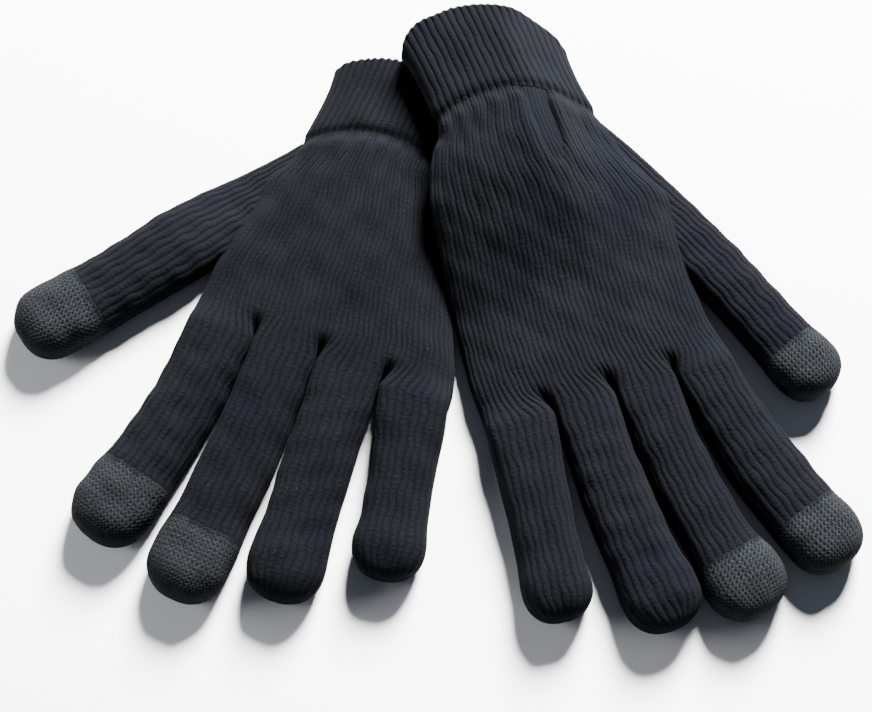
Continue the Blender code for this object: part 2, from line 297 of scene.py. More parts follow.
def resample(line, steps):
    """The line's points spaced evenly along it, without its last point."""
    lengths = np.concatenate([[0], np.cumsum(np.linalg.norm(np.diff(line, axis=0), axis=1))])
    wanted = np.linspace(0, lengths[-1], steps + 1)[:-1]
    return np.stack([np.interp(wanted, lengths, line[:, axis]) for axis in range(2)], axis=1)


def half_section(centre, half_width, low, high, above, back_power):
    """Half of a flattened tube's outline, from its thumb side to its other side."""
    turn = np.linspace(0, math.pi, OUTLINE_POINTS)
    cosine, sine = np.cos(turn), np.clip(np.sin(turn), 0, 1)
    across = centre + half_width * np.sign(cosine) * np.abs(cosine) ** SIDE_POWER
    middle = low + MIDLINE * (high - low)
    if above:
        height = middle + (high - middle) * sine**back_power
    else:
        height = middle - (middle - low) * sine**UNDERSIDE_POWER
    return np.stack([across, height], axis=1)


def tube_section(centre, width, low, high, steps, back_power=BACK_POWER):
    """A closed ring of (across, height): over the back from the thumb's side, then underneath."""
    outline = centre, width / 2, low, high
    back = resample(half_section(*outline, True, back_power), steps)
    under = resample(half_section(*outline, False, back_power)[::-1], steps)
    return np.concatenate([back, under])


def arch(end, across):
    """The arched end of a cuff: how far along it lies at a place across."""
    centre, width, little, middle, thumb, power = end
    place = np.clip((across - centre) / (width / 2), -1, 1)
    mean = (little + thumb) / 2
    return -(mean + place * (thumb - little) / 2) - (middle - mean) * (1 - place**2) ** power


def ripple(across, along, size, seed):
    """Soft unevenness between -1 and 1, from a few waves of about the given size.

    Each wave is turned by about the golden angle from the one before it, and is a little shorter.
    """
    count, golden_angle, shortening = 4, 2.399, 0.31
    total = np.zeros(np.broadcast(across, along).shape)
    for step in range(count):
        turn = seed * 1.7 + step * golden_angle
        phase = across * math.cos(turn) + along * math.sin(turn)
        phase = phase * (1 + shortening * step) / size
        total = total + np.sin(2 * math.pi * phase + seed * (step + 1))
    return total / count


def waves(rows, sizes, seed):
    """Broad unevenness of a tube's rows, from (height, size) pairs in millimetres."""
    across, along = rows[..., 0], rows[..., 1]
    heights = [
        height * ripple(across, along, size, seed + 2 * step)
        for step, (height, size) in enumerate(sizes)
    ]
    return sum(heights)


# ---------------------------------------------------------------- a glove's own frame


class Glove:
    """One glove's place in the row frame, from its middle finger's knuckle hinge."""

    def __init__(self, side):
        self.side = side
        self.shape = GLOVES[side]
        hinge = JOINTS[f"{side}_middle_root_flex"]
        toward_thumb = Vector(hinge["axis"]).normalized() * (1 if side == "right" else -1)
        up = Vector((0, 0, 1))
        ahead = toward_thumb.cross(up) if side == "right" else up.cross(toward_thumb)
        self.toward_thumb, self.ahead = np.array(toward_thumb), np.array(ahead)
        origin = np.array(hinge["pos_m"]) / MM
        self.wrist = origin - self.shape["middle_across"] * self.toward_thumb
        self.wrist = self.wrist - self.shape["palm_length"] * self.ahead
        self.seed = {"left": 1.0, "right": 2.6}[side]

    def local(self, point):
        """(across, along) in millimetres of a point in the row frame."""
        offset = np.asarray(point, float) / MM - self.wrist
        return np.array([offset @ self.toward_thumb, offset @ self.ahead])

    def hinge(self, name):
        return self.local(JOINTS[f"{self.side}_{name}"]["pos_m"])

    def seam(self, across):
        """How far along the arched line between cuff and hand lies, at a place across."""
        return arch(self.shape["seam"], across)

    def tip_end(self, digit, heading):
        """The farthest point of the digit's CAD tip, on the line through its middle hinge."""
        kind = "touch_tip" if digit in TOUCH_DIGITS else "plain_tip"
        mesh = frame["nodes"][f"{self.side}_{digit}_{kind}"].data
        points = np.array([self.local(vertex.co) for vertex in mesh.vertices])
        return points[np.argmax(points @ heading)]

    def drape(self, points):
        """Lifts the right glove's cuff side on to the left glove, and presses the left's edge."""
        across, along = points[..., 0], points[..., 1]
        kind = DRAPE if self.side == "right" else PRESS
        cover = (1 - fade(across, *kind["across"])) * (1 - fade(along, *kind["along"]))
        draped = points.copy()
        if self.side == "right":
            draped[..., 2] += DRAPE["height"] * cover
        else:
            draped[..., 2] *= 1 - (1 - PRESS["keep"]) * cover
        return draped

    def place(self, points):
        """Points from (across, along, height) in millimetres to the row frame in metres."""
        draped = self.drape(points)
        world = self.wrist + draped[..., :1] * self.toward_thumb + draped[..., 1:2] * self.ahead
        world[..., 2] += draped[..., 2]
        return world * MM


# ---------------------------------------------------------------- stitches in relief


def wale_profile(wale):
    """The rounded cross-section of the knitted columns, 0 in the grooves and 1 on the crests."""
    offset = 2 * (wale - np.floor(wale)) - 1
    return np.sqrt(np.clip(1 - offset**2, 0, 1)), offset


def jersey(wale, course, column, stitch):
    """Plain knit: columns of V stitches, column millimetres high with stitch-high legs."""
    round_column, offset = wale_profile(wale)
    legs = 0.5 + 0.5 * np.cos(2 * math.pi * (course + LEG_SLANT * np.abs(offset)))
    split = bump_at(offset, LEG_SPLIT)
    return column * (round_column - 1) + stitch * (legs * round_column - 1) - 0.25 * stitch * split


def dotted(wale, course, height):
    """The touch tips' knit: round knots of thick conductive yarn in every other place."""
    knots = 0.5 - 0.5 * np.cos(2 * math.pi * wale) * np.cos(2 * math.pi * course)
    return height * (knots - 1)


def ribbed(rib, course, height, stitch):
    """Ribs with narrow furrows between them."""
    crest, offset = wale_profile(rib)
    legs = 0.5 + 0.5 * np.cos(2 * math.pi * (course + RIB_LEG_SLANT * np.abs(offset)))
    return height * (crest**RIB_ROUNDNESS - 1) + stitch * (legs * crest - 1)


# ---------------------------------------------------------------- meshes


def surface_normals(points, ahead=None):
    """Outward directions of a tube's rows, square to the ahead direction if that is given."""
    around = np.roll(points, -1, axis=1) - np.roll(points, 1, axis=1)
    along = np.gradient(points, axis=0) if ahead is None else ahead
    normal = np.cross(along, around)
    return normal / np.maximum(np.linalg.norm(normal, axis=-1, keepdims=True), 1e-9)


def grid_faces(rows, columns, start):
    """Quads between the rows of a tube whose columns close on themselves."""
    row, column = np.meshgrid(np.arange(rows - 1), np.arange(columns), indexing="ij")
    after = (column + 1) % columns
    corners = [row * columns + column, row * columns + after]
    corners += [(row + 1) * columns + after, (row + 1) * columns + column]
    return np.stack(corners, axis=-1).reshape(-1, 4) + start


def corner_values(values, last):
    """A grid's values at the corners of grid_faces. last is added where the tube closes."""
    padded = np.concatenate([values, values[:, :1] + last], axis=1)
    corners = [padded[:-1, :-1], padded[:-1, 1:], padded[1:, 1:], padded[1:, :-1]]
    return np.stack(corners, axis=-1).reshape(-1, 4)


def grid_uv(wale, course, wales):
    """The stitch coordinates at the corners of grid_faces."""
    return np.stack([corner_values(wale, wales), corner_values(course, 0)], axis=-1)


def rim_faces(columns, outer, inner, wales):
    """Quads that join the outer and inner rings of an open end, and their stitch coordinates."""
    column = np.arange(columns)
    after = (column + 1) % columns
    quads = np.stack([outer + column, outer + after, inner + after, inner + column], axis=-1)
    wale = np.stack([column, column + 1, column + 1, column], axis=-1) * wales / columns
    course = np.broadcast_to([0.0, 0.0, 0.5, 0.5], wale.shape)
    return quads, np.stack([wale, course], axis=-1)


def nose_faces(columns, ring, nose, wales, course):
    """Triangles from the last ring of a closed end to its nose, and their stitch coordinates."""
    column = np.arange(columns)
    after = (column + 1) % columns
    fan = np.stack([ring + column, ring + after, np.full(columns, nose)], axis=-1)
    across = np.stack([column, column + 1, column + 0.5], axis=-1) * wales / columns
    along = np.broadcast_to(course + np.array([0, 0, 0.3]), across.shape)
    return fan, np.stack([across, along], axis=-1)


def turned(faces, flip):
    """Faces, or the values at their corners, with the corners in the other order."""
    return faces[:, ::-1] if flip else faces


def mesh_piece(glove, name, vertices, quads, quad_uvs, fans, fan_uvs):
    """A piece from faces in a glove's own frame. The left glove is a mirror image."""
    mirrored = glove.side == "left"
    quads, quad_uvs = turned(quads, mirrored), turned(quad_uvs, mirrored)
    fans, fan_uvs = turned(fans, mirrored), turned(fan_uvs, mirrored)
    mesh = bpy.data.meshes.new(name)
    mesh.from_pydata(glove.place(vertices).tolist(), [], quads.tolist() + fans.tolist())
    layer = mesh.uv_layers.new(name="knit")
    flat = np.concatenate([quad_uvs.reshape(-1, 2), fan_uvs.reshape(-1, 2)])
    layer.data.foreach_set("uv", flat.astype(np.float32).ravel())
    mesh.shade_smooth()
    mesh.set_sharp_from_angle(angle=RIM_ANGLE)
    piece = bpy.data.objects.new(name, mesh)
    bpy.context.scene.collection.objects.link(piece)
    return piece


def fabric_tube(glove, name, points, relief, wale, course, closed=False, ahead=None):
    """A closed shell of fabric: knitted outside, plain inside, and joined round its open ends.

    points are the rows before stitches in the glove's frame, and relief is the stitches' height on
    them. wale and course count the stitches round the tube and along it.
    """
    rows, columns = points.shape[:2]
    normals = surface_normals(points, ahead)
    outside = points + normals * relief[..., None]
    kept = np.unique(np.linspace(0, rows - 1, max(3, rows // INNER_ROW_STEP)).astype(int))
    inside = points[kept] - normals[kept] * FABRIC
    vertices = np.concatenate([outside.reshape(-1, 3), inside.reshape(-1, 3)])
    first_inside = rows * columns
    quads = [grid_faces(rows, columns, 0), grid_faces(len(kept), columns, first_inside)[:, ::-1]]
    wales = round((wale[:, -1] - wale[:, 0]).mean() * columns / (columns - 1))
    uvs = [grid_uv(wale, course, wales), grid_uv(wale[kept], course[kept], wales)[:, ::-1]]
    last_outer = (rows - 1) * columns
    last_inner = first_inside + (len(kept) - 1) * columns
    ends = [(0, first_inside)] if closed else [(0, first_inside), (last_outer, last_inner)]
    for outer, inner in ends:
        rim, rim_uv = rim_faces(columns, outer, inner, wales)
        quads.append(turned(rim, outer == 0))
        uvs.append(turned(rim_uv, outer == 0))
    fans, fan_uvs = [np.zeros((0, 3), int)], [np.zeros((0, 3, 2))]
    if closed:
        for first, ring, flip in ((last_outer, outside[-1], False), (last_inner, inside[-1], True)):
            fan, fan_uv = nose_faces(columns, first, len(vertices), wales, course[-1].mean())
            vertices = np.concatenate([vertices, ring.mean(axis=0)[None]])
            fans.append(turned(fan, flip))
            fan_uvs.append(turned(fan_uv, flip))
    faces = [np.concatenate(part) for part in (quads, uvs, fans, fan_uvs)]
    return mesh_piece(glove, name, vertices, *faces)


def stitch_places(points, steps, course, seed, scale=1.0):
    """The wale and course of each point, drifting a little as worn knit does."""
    count, columns = points.shape[:2]
    across, along = points[..., 0], points[..., 1]
    wale = np.broadcast_to(np.arange(columns) / steps, (count, columns))
    wale = wale + scale * WALE_DRIFT * ripple(across, along, WALE_DRIFT_SIZE, seed)
    return wale, course + COURSE_DRIFT * ripple(across, along, COURSE_DRIFT_SIZE, seed + 5)


def dress(piece, material, slot, *nodes):
    """Gives a piece its yarn, and hides the CAD nodes it stands for."""
    piece.data.materials.append(material)
    if nodes:
        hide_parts(*nodes)
    return piece


# ---------------------------------------------------------------- the hand


def palm_rows(glove):
    """The hand's surface before its stitches, as rings from the seam to the knuckles."""
    knuckle = glove.shape["palm_length"]
    stations = np.array(glove.shape["palm"])
    lobes = glove.shape["lobes"]
    little, middle, thumb = glove.shape["seam"][2:5]
    mean_start = -(little + 2 * middle + thumb) / 4
    count = int((knuckle - mean_start) / HAND_ROW) + 1
    low = REST_GAP
    knuckle_back, knuckle_under = [], []
    for edge, other in zip(lobes, lobes[1:]):
        outline = (edge + other) / 2, edge - other, low, FINGER_HEIGHT
        ring = tube_section(*outline, LOBE_STEPS, KNUCKLE_BACK_POWER)
        knuckle_back.append(ring[:LOBE_STEPS])
        knuckle_under.insert(0, ring[LOBE_STEPS:])
    knuckle_ring = np.concatenate(knuckle_back + knuckle_under)
    rows = []
    for share in np.linspace(0, 1, count):
        along = mean_start + (knuckle - mean_start) * share
        little_edge = smooth_between(along, stations[:, 0], stations[:, 1])
        thumb_edge = smooth_between(along, stations[:, 0], stations[:, 2])
        height = PALM_HEIGHT - WRIST_DROP * (1 - fade(along, *WRIST_SLOPE))
        centre, width = (little_edge + thumb_edge) / 2, thumb_edge - little_edge
        dome = tube_section(centre, width, low, height, FACE_STEPS)
        lobed = fade(along, knuckle - KNUCKLE_BLEND, knuckle) ** KNUCKLE_EASE
        section = dome + (knuckle_ring - dome) * lobed
        start = glove.seam(section[:, 0])
        reach = start + (knuckle - start) * share
        rows.append(np.stack([section[:, 0], reach, section[:, 1]], axis=1))
    return np.array(rows)


def hand_stitches(glove, rows, wale, course, from_seam):
    """Ribs near the wrist, then fine plain knit, then the fingers' columns."""
    across, along = rows[..., 0], rows[..., 1]
    knuckle = glove.shape["palm_length"]
    near_knuckle = fade(along, knuckle - COLUMN_FADE, knuckle)
    fine = jersey(wale, course, *FINE_RELIEF)
    relief = fine + (jersey(wale, course, *FINGER_RELIEF) - fine) * near_knuckle
    wander, size = RIB_WANDER
    ribby = 1 - fade(along + wander * ripple(across, along, size, 3.0), *RIB_FADE)
    risen = fade(from_seam, 0, HAND_RIBS_SET_IN)
    rib_height = RIB_HEIGHT + (HAND_RIB_HEIGHT - RIB_HEIGHT) * risen
    rib_stitch = RIB_STITCH * fade(from_seam, 0, STITCHES_SET_IN)
    ribs = ribbed(wale * RIBS_PER_WALE, course, rib_height, rib_stitch)
    relief = relief + (ribs - relief) * ribby
    broad = waves(rows, HAND_WAVES, glove.seed)
    return relief + on_top(rows) * broad * (1 - near_knuckle) * fade(from_seam, 0, WAVES_SET_IN)


def hand_gathers(glove, rows, from_seam):
    """Pleats and a bulge that the drawn-in seam gives the hand."""
    across = rows[..., 0]
    falling = np.exp(-np.maximum(from_seam - PLEAT_FALL_START, 0) / PLEAT_REACH)
    gather = fade(from_seam, 0, PLEAT_RISE) * falling
    pleats = np.sin(2 * math.pi * across / PLEAT_PITCH + 1.9 * np.sin(across / 9 + glove.seed))
    bulge = bump_at(from_seam - BULGE_PLACE, BULGE_WIDTH)
    bulge = SEAM_BULGE * fade(from_seam, 0, BULGE_WIDTH) * bulge
    raised = on_top(rows) * (PLEAT_DEPTH * gather * pleats + bulge)
    return raised - SEAM_DIP * bump_at(from_seam, SEAM_WIDTH)


def wrist_fold(rows):
    """A dark crease that starts at the seam, with a bank on its thumb side."""
    across, along = rows[..., 0], rows[..., 1]
    window = fade(along, *FOLD_START) * (1 - fade(along, *FOLD_END))
    crease = bump_at(across - FOLD_ACROSS, FOLD_WIDTH)
    bank = bump_at(across - FOLD_ACROSS - BANK_OFFSET, BANK_WIDTH)
    return on_top(rows) * window * (BANK_HEIGHT * bank - FOLD_DEPTH * crease)


def build_hand(glove, material):
    rows = palm_rows(glove)
    along = rows[..., 1]
    total = round((glove.shape["palm_length"] - along[0].mean()) / COURSE)
    course = np.linspace(0, total, len(rows))[:, None]
    wale, course = stitch_places(rows, STEPS_PER_WALE, course, glove.seed)
    from_seam = along - glove.seam(rows[..., 0])
    relief = hand_stitches(glove, rows, wale, course, from_seam)
    relief = relief + hand_gathers(glove, rows, from_seam)
    if glove.side == "right":
        relief = relief + wrist_fold(rows)
    name = f"{glove.side}_hand_knit"
    piece = fabric_tube(glove, name, rows, relief, wale, course, ahead=AHEAD)
    dress(piece, material, "knit_black", f"{glove.side}_hand")
    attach(piece, f"{glove.side}_hand")


# ---------------------------------------------------------------- the digits


class Digit:
    """One digit's centre line and widths. Distances run along the line from its knuckle hinge."""

    def __init__(self, glove, name):
        self.glove, self.name = glove, name
        shape = glove.shape["digits"][name]
        root, middle = glove.hinge(f"{name}_root_flex"), glove.hinge(f"{name}_middle_flex")
        ahead = (middle - root) / np.linalg.norm(middle - root)
        end = glove.tip_end(name, ahead)
        self.middle = np.linalg.norm(middle - root)
        self.end = self.middle + np.linalg.norm(end - middle)
        self.tip = self.end - shape["tip"]
        self.places, self.points = [0, self.middle, self.end], [root, middle, end]
        tip_width = shape["widths"][-1]
        if name == "thumb":
            across, along, start_width = glove.shape["thumb_root"]
            self.start = -np.linalg.norm(root - (across, along))
            self.places.insert(0, self.start)
            self.points.insert(0, np.array([across, along]))
            root_width, middle_width = shape["widths"][:2]
            self.width_places = [self.start, 0, self.middle]
            self.width_values = [start_width, root_width, middle_width]
        else:
            edge = FINGERS.index(name)
            lobes = glove.shape["lobes"]
            self.points[0] = np.array([(lobes[edge] + lobes[edge + 1]) / 2, root[1]])
            self.width_places = [0, self.middle]
            self.width_values = [lobes[edge] - lobes[edge + 1], shape["widths"][0]]
        self.radius = tip_width / 2
        self.dome = self.radius * DOME_LENGTH
        self.width_places += [self.tip - 2, self.tip + TIP_RISE, self.end - self.dome]
        neck = shape["widths"][-2] + NECK_SHARE * (tip_width - shape["widths"][-2])
        self.width_values += [neck, tip_width, tip_width]

    def centre(self, distance):
        """Lagrange's curve through the digit's points."""
        total = np.zeros(2)
        for index, place in enumerate(self.places):
            weight = 1.0
            for other_index, other in enumerate(self.places):
                if other_index != index:
                    weight *= (distance - other) / (place - other)
            total = total + weight * self.points[index]
        return total

    def turn(self, distance):
        """The digit's angle from the glove's direction, level with the knuckles at a finger's root."""
        step = self.centre(distance + 0.5) - self.centre(distance - 0.5)
        heading = math.atan2(step[0], step[1])
        return heading if self.name == "thumb" else heading * fade(distance, 0, FINGER_TURN)

    def row(self, distance, steps, closing=1.0, forward=0.0):
        """One ring of the digit, drawn in by closing and moved ahead by forward."""
        width = smooth_between(distance, self.width_places, self.width_values) * closing
        swell = fade(distance, self.tip - SWELL_BEFORE, self.tip + SWELL_AFTER)
        high = FINGER_HEIGHT + TIP_SWELL * swell
        if self.name == "thumb":
            rise = fade(distance, THUMB_RISE_FROM * self.start, THUMB_RISE_TO)
            high = THUMB_ROOT_HEIGHT + (high - THUMB_ROOT_HEIGHT) * rise
        middle = REST_GAP + MIDLINE * (high - REST_GAP)
        low = middle - (middle - REST_GAP) * closing**UNDERSIDE_CLOSING
        high = middle + (high - middle) * closing**BACK_CLOSING
        power = BACK_POWER
        if self.name != "thumb":
            power += (KNUCKLE_BACK_POWER - BACK_POWER) * (1 - fade(distance, 0, CLEFT_LENGTH))
        section = tube_section(0, width, low, high, steps, power)
        turn = self.turn(distance)
        ahead = np.array([math.sin(turn), math.cos(turn)])
        centre = self.centre(distance) + forward * ahead
        across = centre[0] + section[:, 0] * math.cos(turn)
        along = centre[1] - section[:, 0] * math.sin(turn)
        return np.stack([across, along, section[:, 1]], axis=1)

    def soft(self, rows):
        """Broad unevenness of the stuffed-looking but empty tube."""
        top = fade(rows[..., 2], 2, 8)
        seed = self.glove.seed + len(self.name) * 1.3
        knuckle = self.points[0][1]
        past_root = 1.0 if self.name == "thumb" else fade(rows[..., 1], knuckle, knuckle + 12)
        return top * past_root * waves(rows, DIGIT_WAVES, seed)


def sleeve(digit, label, start, stop, material, nodes):
    """A stretch of the digit's knitted tube between two distances."""
    glove = digit.glove
    count = max(4, round((stop - start) / FINGER_ROW) + 1)
    places = np.linspace(start, stop, count)
    rows = np.array([digit.row(place, LOBE_STEPS) for place in places])
    wale, course = stitch_places(rows, STEPS_PER_WALE, places[:, None] / COURSE, glove.seed)
    relief = jersey(wale, course, *FINGER_RELIEF) + digit.soft(rows)
    name = f"{glove.side}_{digit.name}_{label}_knit"
    piece = fabric_tube(glove, name, rows, relief, wale, course)
    return dress(piece, material, "knit_black", *nodes)


def tip_rows(digit, steps):
    """The tip's rings, straight and then closing in a blunt dome, and how far along each lies."""
    straight = digit.end - digit.dome
    rows, lengths = [], []
    for place in np.linspace(digit.tip, straight, round((straight - digit.tip) / TIP_ROW) + 1):
        rows.append(digit.row(place, steps))
        lengths.append(place - digit.tip)
    leans = np.linspace(0, DOME_LEAN, round(digit.radius * DOME_LEAN / TIP_ROW))[1:]
    for lean in leans:
        closing = math.cos(lean) ** DOME_POWER
        forward = digit.dome * math.sin(lean) ** DOME_POWER
        rows.append(digit.row(straight, steps, closing, forward))
        lengths.append(straight - digit.tip + digit.radius * lean)
    return np.array(rows), np.array(lengths)


def build_tip(digit, materials):
    glove = digit.glove
    touch = digit.name in TOUCH_DIGITS
    stitches = TIP_STITCHES if touch else 2 * WALES_PER_LOBE
    rows, lengths = tip_rows(digit, stitches * STEPS_PER_WALE // 2)
    pitch = TIP_COURSE if touch else COURSE
    first = 0 if touch else digit.tip / COURSE
    course = first + lengths[:, None] / pitch
    wale, course = stitch_places(rows, STEPS_PER_WALE, course, glove.seed)
    plain = jersey(wale, course, *FINGER_RELIEF)
    relief = dotted(wale, course, KNOT_RELIEF) if touch else plain
    nose = digit.end - digit.tip
    flatten = 1 - NOSE_FLATTENING * fade(lengths, nose - 6, nose + 3)
    relief = relief * flatten[:, None] + digit.soft(rows)
    label = "touch_tip" if touch else "plain_tip"
    name = f"{glove.side}_{digit.name}_{label}_knit"
    piece = fabric_tube(glove, name, rows, relief, wale, course, closed=True)
    slot = "conductive_knit" if touch else "knit_black"
    dress(piece, materials[slot], slot, f"{glove.side}_{digit.name}_{label}")
    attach(piece, f"{glove.side}_{digit.name}_end")


def bend(piece, digit, hinge):
    """Bakes the sleeve's placement into its mesh."""
    glove = digit.glove
    start = glove.hinge(f"{digit.name}_{hinge}_flex")
    turn = digit.turn(0) if digit.name == "thumb" else 0
    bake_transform(piece)


def build_digit(glove, name, materials):
    digit = Digit(glove, name)
    side = f"{glove.side}_{name}"
    knit = materials["knit_black"]
    if name == "thumb":
        root = sleeve(digit, "root", digit.start, 0, knit, ())
        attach(root, f"{glove.side}_hand")
    base = sleeve(digit, "base", 0, digit.middle, knit, (f"{side}_base_sleeve",))
    bend(base, digit, "root")
    upper = sleeve(digit, "upper", digit.middle, digit.tip, knit, (f"{side}_upper_sleeve",))
    bend(upper, digit, "middle")
    build_tip(digit, materials)


# ---------------------------------------------------------------- the cuff


def cuff_rows(glove, shares):
    """Rings of the cuff: the seam is at share 0, and the mouth at share 1."""
    seam, mouth = np.array(glove.shape["seam"], float), np.array(glove.shape["mouth"], float)
    rows = []
    for share in shares:
        end = seam + (mouth - seam) * share
        waist = CUFF_WAIST * math.sin(math.pi * share)
        section = tube_section(end[0], end[1] - waist, REST_GAP, CUFF_HEIGHT, FACE_STEPS)
        rows.append(np.stack([section[:, 0], arch(end, section[:, 0]), section[:, 1]], axis=1))
    return np.array(rows)


def cuff_relief(glove, rows, shares, rib, course):
    """The ribs, the scalloped mouth and the drawn-in line where the cuff meets the hand."""
    longest = glove.shape["mouth"][3]
    from_seam = (shares * longest)[:, None]
    mouth = fade(shares, *MOUTH_STRETCH)[:, None]
    scallop = np.cos(2 * math.pi * rib + glove.seed)
    stitch = RIB_STITCH * fade(from_seam, 0, STITCHES_SET_IN)
    relief = ribbed(rib, course, RIB_HEIGHT, stitch) * (1 - MOUTH_FLATTENING * mouth)
    relief = relief + SCALLOP_HEIGHT * mouth * scallop
    broad = waves(rows, CUFF_WAVES, glove.seed + 4)
    relief = relief + on_top(rows) * broad * fade(from_seam, 0, WAVES_SET_IN)
    relief = relief - SEAM_DIP * bump_at(from_seam, SEAM_WIDTH)
    return relief - ROLL_DEPTH * fade(shares, 1 - ROLLED_EDGE / longest, 1)[:, None] ** 2


def build_cuff(glove, material):
    side, longest = glove.side, glove.shape["mouth"][3]
    shares = np.linspace(1, 0, round(longest / CUFF_ROW) + 1)
    rows = cuff_rows(glove, shares)
    course = (shares * longest / COURSE)[:, None]
    steps = STEPS_PER_WALE / RIBS_PER_WALE
    rib, course = stitch_places(rows, steps, course, glove.seed, RIBS_PER_WALE)
    relief = cuff_relief(glove, rows, shares, rib, course)
    mouth = fade(shares, *MOUTH_STRETCH)[:, None]
    height, size = UNEVEN_MOUTH
    uneven = SCALLOP_LENGTH * np.cos(2 * math.pi * rib)
    uneven = uneven + height * ripple(rows[..., 0], 0, size, glove.seed)
    rows[..., 1] -= mouth * uneven
    split = int(np.argmin(np.abs(shares - (1 - WELT_SHARE))))
    for label, node, part in (
        ("cuff_welt", "cuff_edge", slice(0, split + 1)),
        ("cuff_ribs", "cuff", slice(split, None)),
    ):
        grids = [grid[part] for grid in (rows, relief, rib, course)]
        piece = fabric_tube(glove, f"{side}_{label}", *grids, ahead=AHEAD)
        dress(piece, material, "rib_black", f"{side}_{node}")
        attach(piece, f"{side}_hand")


# ---------------------------------------------------------------- yarns

# What the stitches' shading is made of: how far a leg leans, and the shares and scales (per metre)
# of columns, fibres and fluff, with the heights between which the colour goes from painted shade in
# the furrows to painted light on the crests.
LEG_LEAN = 0.9
COLUMN_SHARE = 0.8
FIBRE_SHARE, FIBRE_SCALE = 0.9, 2600.0
FLUFF_SHARE, FLUFF_SCALE = 0.7, 900.0
LIT_HEIGHTS = (0.55, 2.0)
PATCH_SHARE, PATCH_SCALE = 0.18, 45.0

# The touch tips: how sharp the knots are, how lit the knit between them and before them is, and
# in which courses they begin.
KNOT_SHARPNESS = 1.6
BETWEEN_KNOTS = 0.25
BEFORE_KNOTS = 0.22
KNOTS_BEGIN = (2.2, 4.2)

LINT_COLOUR = (0.06, 0.062, 0.065, 1)
LINT_SCALE, LINT_STRENGTH = 210.0, 0.3


class Nodes:
    """A short way to write shader maths."""

    def __init__(self, material):
        material.use_nodes = True
        self.tree = material.node_tree
        self.shader = self.tree.nodes["Principled BSDF"]

    def add(self, kind, inputs=(), **settings):
        node = self.tree.nodes.new(kind)
        for key, value in settings.items():
            setattr(node, key, value)
        for socket, value in dict(inputs).items():
            if isinstance(value, bpy.types.NodeSocket):
                self.tree.links.new(value, node.inputs[socket])
            else:
                node.inputs[socket].default_value = value
        return node

    def math(self, operation, first, second=0.0, third=0.0):
        inputs = {0: first, 1: second, 2: third}
        return self.add("ShaderNodeMath", inputs, operation=operation).outputs[0]

    def noise(self, vector, scale, detail=2.0):
        inputs = {"Vector": vector, "Scale": scale, "Detail": detail}
        return self.add("ShaderNodeTexNoise", inputs).outputs["Fac"]

    def ramp(self, value, low, high, new_low=0.0, new_high=1.0):
        inputs = {"Value": value, 1: low, 2: high, 3: new_low, 4: new_high}
        return self.add("ShaderNodeMapRange", inputs).outputs[0]

    def mix(self, share, first, second):
        node = self.add("ShaderNodeMix", data_type="RGBA")
        for socket, value in ((0, share), (6, first), (7, second)):
            if isinstance(value, bpy.types.NodeSocket):
                self.tree.links.new(value, node.inputs[socket])
            else:
                node.inputs[socket].default_value = value
        return node.outputs[2]

    def link(self, output, socket):
        self.tree.links.new(output, self.shader.inputs[socket])


def stitch_height(nodes, wale, course, legs, place):
    """Rounded columns with faint V legs, and the fluff of the yarn on them."""
    # The height also sets the colour: painted shade in the furrows and painted light on the crests.
    offset = nodes.math("PINGPONG", wale, 0.5)
    column = nodes.math("POWER", nodes.math("SINE", nodes.math("MULTIPLY", offset, math.pi)), 0.6)
    slanted = nodes.math("MULTIPLY_ADD", offset, -LEG_LEAN, course)
    leg = nodes.math("SINE", nodes.math("MULTIPLY", slanted, 2 * math.pi))
    leg = nodes.math("MULTIPLY_ADD", leg, 0.5, 0.5)
    legged = nodes.math("MULTIPLY_ADD", leg, legs, 1 - legs)
    height = nodes.math("MULTIPLY", nodes.math("MULTIPLY", column, COLUMN_SHARE), legged)
    fibre = nodes.noise(place, FIBRE_SCALE, 4.0)
    fluff = nodes.noise(place, FLUFF_SCALE, 3.0)
    height = nodes.math("MULTIPLY_ADD", fibre, FIBRE_SHARE, height)
    return nodes.math("MULTIPLY_ADD", fluff, FLUFF_SHARE, height), fluff


def knotted(nodes, wale, course, lit, fluff, place):
    """Bright knots in every other place, which begin at an uneven line round the digit."""
    fluffy = nodes.ramp(fluff, 0.3, 0.7, 0.45, 1.3)
    ring = nodes.math("COSINE", nodes.math("MULTIPLY", wale, 2 * math.pi))
    row = nodes.math("COSINE", nodes.math("MULTIPLY", course, 2 * math.pi))
    knot = nodes.math("MULTIPLY_ADD", nodes.math("MULTIPLY", ring, row), -0.5, 0.5)
    knot = nodes.math("MULTIPLY", nodes.math("POWER", knot, KNOT_SHARPNESS), fluffy)
    lit = nodes.math("MULTIPLY_ADD", lit, BETWEEN_KNOTS, knot)
    begins = nodes.math("MULTIPLY_ADD", nodes.noise(place, 260.0, 2.0), 5.0, course)
    return nodes.math("MULTIPLY", lit, nodes.ramp(begins, *KNOTS_BEGIN, BEFORE_KNOTS, 1.0))


def with_lint(nodes, colour, place):
    """Sparse specks of pale lint."""
    speck = nodes.add("ShaderNodeTexVoronoi", {"Vector": place, "Scale": LINT_SCALE})
    lint = nodes.ramp(speck.outputs["Distance"], 0.05, 0.02)
    rare = nodes.math("GREATER_THAN", nodes.noise(place, 130.0, 0.0), 0.62)
    lint = nodes.math("MULTIPLY", lint, rare)
    return nodes.mix(nodes.math("MULTIPLY", lint, LINT_STRENGTH), colour, LINT_COLOUR)


